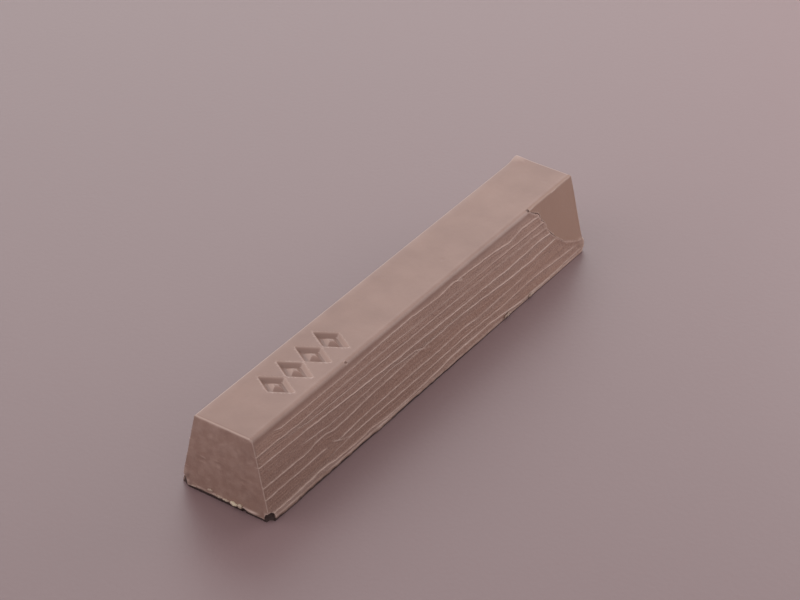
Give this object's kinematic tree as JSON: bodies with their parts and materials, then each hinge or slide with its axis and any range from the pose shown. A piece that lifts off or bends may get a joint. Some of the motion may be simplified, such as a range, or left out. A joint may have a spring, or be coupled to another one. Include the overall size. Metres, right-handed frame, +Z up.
{
  "type": "furniture repair wax stick",
  "caption": "Cast bar of hard filling wax with a wide flat base, drafted walls and a narrow crown, used to fill dents and scratches in wood.",
  "frame": {"origin": "middle of the base, which is the face that the bar rests on", "axes": "+X along the bar from the marked end to the pouring end, +Z up from the base to the crown"},
  "size_m": [0.0803, 0.0158, 0.0128],
  "materials": {
    "wax": "dull brown hard wax with a faint sheen",
    "wax_crumb": "pale broken wax"
  },
  "bodies": {
    "root": {"wax_bar": "wax", "near_end_crumbs": "wax_crumb", "long_wall_crumbs": "wax_crumb"}
  },
  "joints": []
}
